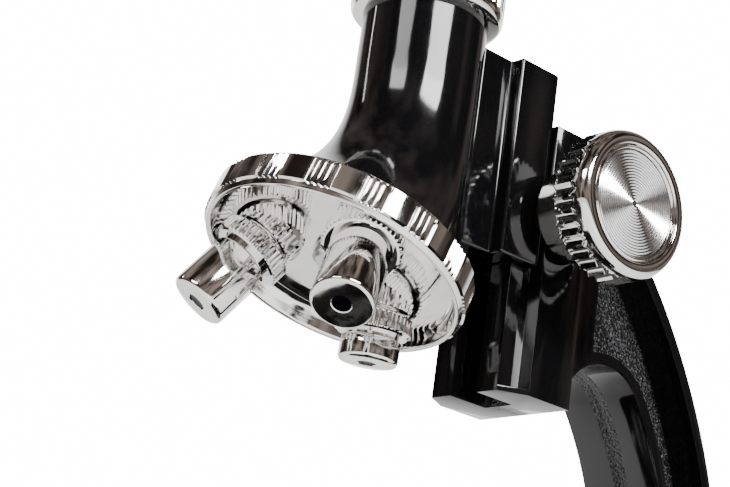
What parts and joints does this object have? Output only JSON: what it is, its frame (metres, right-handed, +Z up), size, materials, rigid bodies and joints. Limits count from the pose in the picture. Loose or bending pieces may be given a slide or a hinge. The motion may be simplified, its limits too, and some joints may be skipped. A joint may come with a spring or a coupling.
{
  "type": "microscope",
  "caption": "Student's compound microscope: tilting arm on a weighted base, racked focus, turning objective turret, draw-tube eyepiece, stage with clips, diaphragm disc and swivelling mirror.",
  "frame": {"origin": "on the optical axis, in the surface that the base's rubber ring stands on", "axes": "+Z up, +Y back towards the arm, +X towards the right-hand focus knob"},
  "size_m": [0.084, 0.1323, 0.221],
  "materials": {
    "black_plastic": "glossy black moulding",
    "matt_black_plastic": "fine matt moulding",
    "plated_plastic": "bright chrome plating on moulded plastic",
    "steel": "bright zinc-plated steel",
    "spun_aluminium": "spun with fine concentric rings",
    "brass": "as machined",
    "iron": "as cast",
    "rubber": "matt",
    "lens_glass": "polished",
    "mirror": "silvered glass"
  },
  "bodies": {
    "base": {"base_shell": "black_plastic", "base_cover": "matt_black_plastic", "base_screws": "steel", "rubber_ring": "rubber", "base_weight": "iron", "tilt_bolt": "steel", "tilt_nut": "plated_plastic", "tilt_washers": "steel"},
    "arm": {"arm_right": "black_plastic", "arm_left": "black_plastic", "arm_screws": "steel", "pinion_bushes": "brass", "stage_plate": "black_plastic", "stage_screws": "steel", "clip_pins": "steel", "diaphragm_rivet": "steel", "mirror_bracket": "black_plastic", "bracket_screws": "steel"},
    "tube": {"body_tube": "black_plastic", "tube_ring": "plated_plastic", "focus_rack": "brass", "turret_pivot_screw": "steel", "turret_spring_washer": "steel", "detent_ball": "steel", "detent_spring": "steel"},
    "turret": {"turret_disc": "plated_plastic", "objective_short_barrel": "plated_plastic", "objective_short_grip": "plated_plastic", "objective_short_lens": "lens_glass", "objective_middle_barrel": "plated_plastic", "objective_middle_grip": "plated_plastic", "objective_middle_lens": "lens_glass", "objective_long_barrel": "plated_plastic", "objective_long_grip": "plated_plastic", "objective_long_lens": "lens_glass"},
    "pinion": {"pinion_gear": "brass", "pinion_shaft": "steel", "focus_knob_right": "plated_plastic", "focus_knob_left": "plated_plastic", "knob_disc_right": "spun_aluminium", "knob_disc_left": "spun_aluminium"},
    "eyepiece": {"draw_tube": "plated_plastic", "field_lens": "lens_glass", "eyepiece_barrel": "black_plastic", "eye_lens": "lens_glass", "eye_cup": "rubber"},
    "clip_right": {"stage_clip_right": "steel"},
    "clip_left": {"stage_clip_left": "steel"},
    "diaphragm": {"diaphragm_disc": "matt_black_plastic"},
    "mirror_fork": {"mirror_fork": "steel"},
    "mirror": {"mirror_holder": "black_plastic", "mirror_glass": "mirror"}
  },
  "joints": [
    {"name": "arm_tilt", "type": "hinge", "parent": "base", "child": "arm", "pos_m": [0, 0.05929, 0.02798], "axis": [-1, 0, 0], "range_deg": [0, 35]},
    {"name": "focus", "type": "slide", "parent": "arm", "child": "tube", "axis": [0, 0, 1], "range_m": [-0.023, 0.01]},
    {"name": "pinion_spin", "type": "hinge", "parent": "arm", "child": "pinion", "pos_m": [0, 0.0303, 0.1406], "axis": [1, 0, 0], "range_deg": [-195, 445]},
    {"name": "turret_turn", "type": "hinge", "parent": "tube", "child": "turret", "pos_m": [0, -0.01375, 0.118], "axis": [0, 0.342, 0.9397], "continuous": true},
    {"name": "eyepiece_draw", "type": "slide", "parent": "tube", "child": "eyepiece", "axis": [0, 0, 1], "range_m": [-0.0085, 0.02]},
    {"name": "clip_right_swing", "type": "hinge", "parent": "arm", "child": "clip_right", "pos_m": [0.023, 0.025, 0.0706], "axis": [0, 0, 1], "range_deg": [-8, 70]},
    {"name": "clip_left_swing", "type": "hinge", "parent": "arm", "child": "clip_left", "pos_m": [-0.023, 0.025, 0.0706], "axis": [0, 0, 1], "range_deg": [-70, 8]},
    {"name": "diaphragm_turn", "type": "hinge", "parent": "arm", "child": "diaphragm", "pos_m": [0, -0.015, 0.0642], "axis": [0, 0, 1], "continuous": true},
    {"name": "mirror_swivel", "type": "hinge", "parent": "arm", "child": "mirror_fork", "pos_m": [0, 0, 0.024], "axis": [0, 0, 1], "continuous": true},
    {"name": "mirror_tilt", "type": "hinge", "parent": "mirror_fork", "child": "mirror", "pos_m": [0, 0, 0.044], "axis": [1, 0, 0], "continuous": true}
  ],
  "couplings": [
    {"joint": "pinion_spin", "follows": "focus", "rad_per_m": -333.33}
  ]
}
